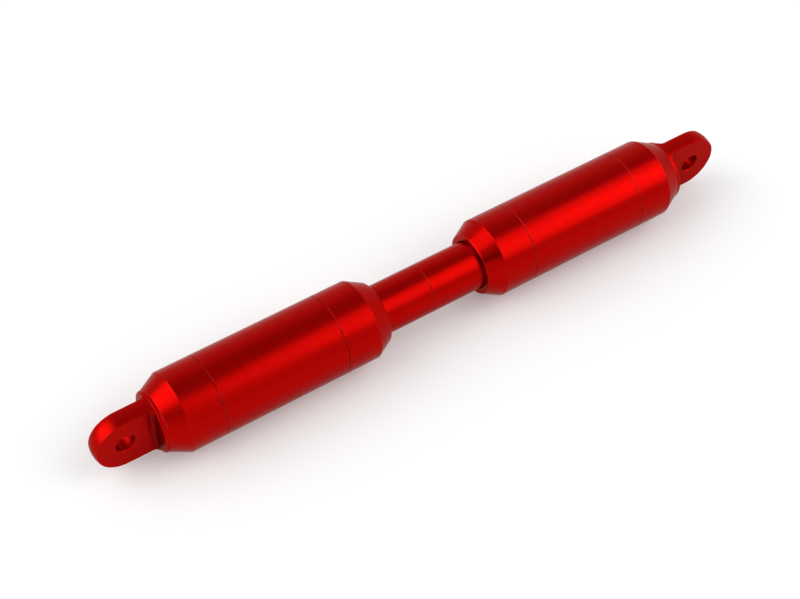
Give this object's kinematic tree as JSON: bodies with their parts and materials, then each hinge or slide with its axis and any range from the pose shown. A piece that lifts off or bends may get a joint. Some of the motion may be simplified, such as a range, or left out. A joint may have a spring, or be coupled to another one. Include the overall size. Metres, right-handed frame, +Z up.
{
  "type": "coilover",
  "caption": "Enclosed coilover strut: a sprung pod slides over each end of a central damper tube, and a flat drilled lug at either end bolts it between chassis and suspension arm.",
  "frame": {"origin": "centre of the lower eye's hole", "axes": "+X runs along the strut from the lower eye to the upper eye, +Y along the eyes' holes, +Z up; both lugs stand with their flat faces upright"},
  "size_m": [0.388, 0.044, 0.044],
  "materials": {
    "red_anodised": "fine turned, bright red anodised",
    "machined_aluminium": "as machined",
    "zinc_steel": "zinc plated",
    "hard_chrome": "ground and hard chromed",
    "spring_steel": "powder coated spring wire",
    "seal_rubber": "matt moulded nitrile",
    "slide_band": "filled low-friction plastic",
    "dry_bush": "sintered bronze",
    "bump_foam": "cellular urethane"
  },
  "bodies": {
    "lower_end": {"lower_eye_lug": "red_anodised", "lower_outer_cap": "red_anodised", "lower_outer_cap_seal": "seal_rubber", "lower_sleeve": "red_anodised", "lower_inner_cap": "red_anodised", "lower_inner_cap_seal": "seal_rubber", "lower_guide_bush": "dry_bush", "lower_tube_wiper": "seal_rubber", "lower_bumper": "seal_rubber", "lower_spring_seat": "zinc_steel", "lower_spring": "spring_steel", "lower_piston_rod": "hard_chrome", "lower_rod_lock_nut": "zinc_steel", "lower_bump_stop": "bump_foam", "lower_piston": "machined_aluminium", "lower_piston_band": "slide_band", "lower_piston_shims": "zinc_steel", "lower_piston_nut": "zinc_steel"},
    "lower_band": {"lower_perch_band": "slide_band"},
    "damper": {"lower_spring_perch": "machined_aluminium", "lower_seal_head": "machined_aluminium", "lower_head_seal": "seal_rubber", "lower_rod_bush": "dry_bush", "lower_rod_seal": "seal_rubber", "lower_snap_ring": "zinc_steel", "lower_damper_tube": "red_anodised", "upper_spring_perch": "machined_aluminium", "upper_seal_head": "machined_aluminium", "upper_head_seal": "seal_rubber", "upper_rod_bush": "dry_bush", "upper_rod_seal": "seal_rubber", "upper_snap_ring": "zinc_steel", "upper_damper_tube": "red_anodised", "tube_joiner": "zinc_steel", "joiner_seals": "seal_rubber"},
    "lower_float": {"lower_floating_piston": "machined_aluminium", "lower_floating_piston_seal": "seal_rubber"},
    "upper_float": {"upper_floating_piston": "machined_aluminium", "upper_floating_piston_seal": "seal_rubber"},
    "upper_band": {"upper_perch_band": "slide_band"},
    "upper_end": {"upper_eye_lug": "red_anodised", "upper_outer_cap": "red_anodised", "upper_outer_cap_seal": "seal_rubber", "upper_sleeve": "red_anodised", "upper_inner_cap": "red_anodised", "upper_inner_cap_seal": "seal_rubber", "upper_guide_bush": "dry_bush", "upper_tube_wiper": "seal_rubber", "upper_bumper": "seal_rubber", "upper_spring_seat": "zinc_steel", "upper_spring": "spring_steel", "upper_piston_rod": "hard_chrome", "upper_rod_lock_nut": "zinc_steel", "upper_bump_stop": "bump_foam", "upper_piston": "machined_aluminium", "upper_piston_band": "slide_band", "upper_piston_shims": "zinc_steel", "upper_piston_nut": "zinc_steel"}
  },
  "joints": [
    {"name": "lower_stroke", "type": "slide", "parent": "lower_end", "child": "lower_band", "axis": [-1, 0, 0], "range_m": [0, 0.027], "stiffness_N_per_m": 20800, "springref_m": -0.003, "deforming": ["lower_spring"]},
    {"name": "lower_swivel", "type": "hinge", "parent": "lower_band", "child": "damper", "pos_m": [0.1775, 0, 0], "axis": [1, 0, 0], "continuous": true},
    {"name": "upper_swivel", "type": "hinge", "parent": "damper", "child": "upper_band", "pos_m": [0.1775, 0, 0], "axis": [1, 0, 0], "continuous": true},
    {"name": "upper_stroke", "type": "slide", "parent": "upper_band", "child": "upper_end", "axis": [-1, 0, 0], "range_m": [0, 0.027], "stiffness_N_per_m": 20800, "springref_m": -0.003, "deforming": ["upper_spring"]},
    {"name": "lower_float_slide", "type": "slide", "parent": "damper", "child": "lower_float", "axis": [1, 0, 0], "range_m": [0, 0.0057]},
    {"name": "upper_float_slide", "type": "slide", "parent": "damper", "child": "upper_float", "axis": [-1, 0, 0], "range_m": [0, 0.0057]}
  ],
  "couplings": [
    {"joint": "lower_float_slide", "follows": "lower_stroke", "ratio": 0.20661},
    {"joint": "upper_float_slide", "follows": "upper_stroke", "ratio": 0.20661}
  ]
}
